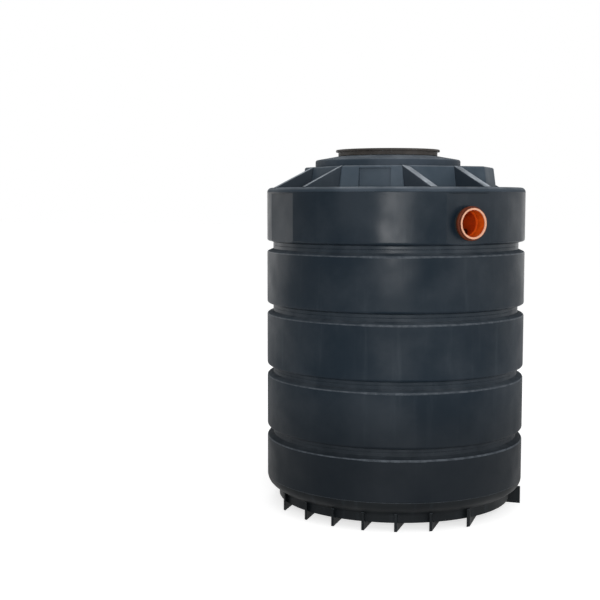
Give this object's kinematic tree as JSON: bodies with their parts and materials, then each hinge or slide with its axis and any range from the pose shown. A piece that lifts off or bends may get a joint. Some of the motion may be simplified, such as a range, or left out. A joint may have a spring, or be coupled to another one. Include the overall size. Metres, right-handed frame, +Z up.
{
  "type": "packaged sewage treatment plant",
  "caption": "Upright plastic treatment tank with grooved wall bands, ribbed eight-sided roof deck, low neck with flat lid, base ribs and orange pipe sockets",
  "frame": {"origin": "on the tank's axis at ground level, under the base ribs", "axes": "+Z up, -Y is the front with the deck's recess, +X is to the right; the base ribs run along Y"},
  "size_m": [1.7, 1.7, 2.347],
  "materials": {
    "tank": "satin moulded",
    "lid": "matte moulded",
    "pipe": "smooth extruded",
    "rubber": "matte"
  },
  "bodies": {
    "root": {"wall_band_1": "tank", "wall_band_2": "tank", "wall_band_3": "tank", "wall_band_4": "tank", "wall_band_5": "tank", "base_ring": "tank", "base_plate": "tank", "side_foot_left": "tank", "side_foot_right": "tank", "roof_rim": "tank", "roof_deck": "tank", "neck": "tank", "base_rib_1": "tank", "base_rib_2": "tank", "base_rib_3": "tank", "base_rib_4": "tank", "base_rib_5": "tank", "base_rib_6": "tank", "base_rib_7": "tank", "roof_rib_1": "tank", "roof_rib_2": "tank", "roof_rib_3": "tank", "roof_rib_4": "tank", "roof_rib_5": "tank", "roof_rib_6": "tank", "roof_rib_7": "tank", "roof_rib_8": "tank", "lid": "lid", "lid_seal": "rubber", "inlet_socket": "pipe", "inlet_bend": "pipe", "inlet_seal": "rubber", "outlet_socket": "pipe", "outlet_bend": "pipe", "outlet_seal": "rubber"}
  },
  "joints": []
}
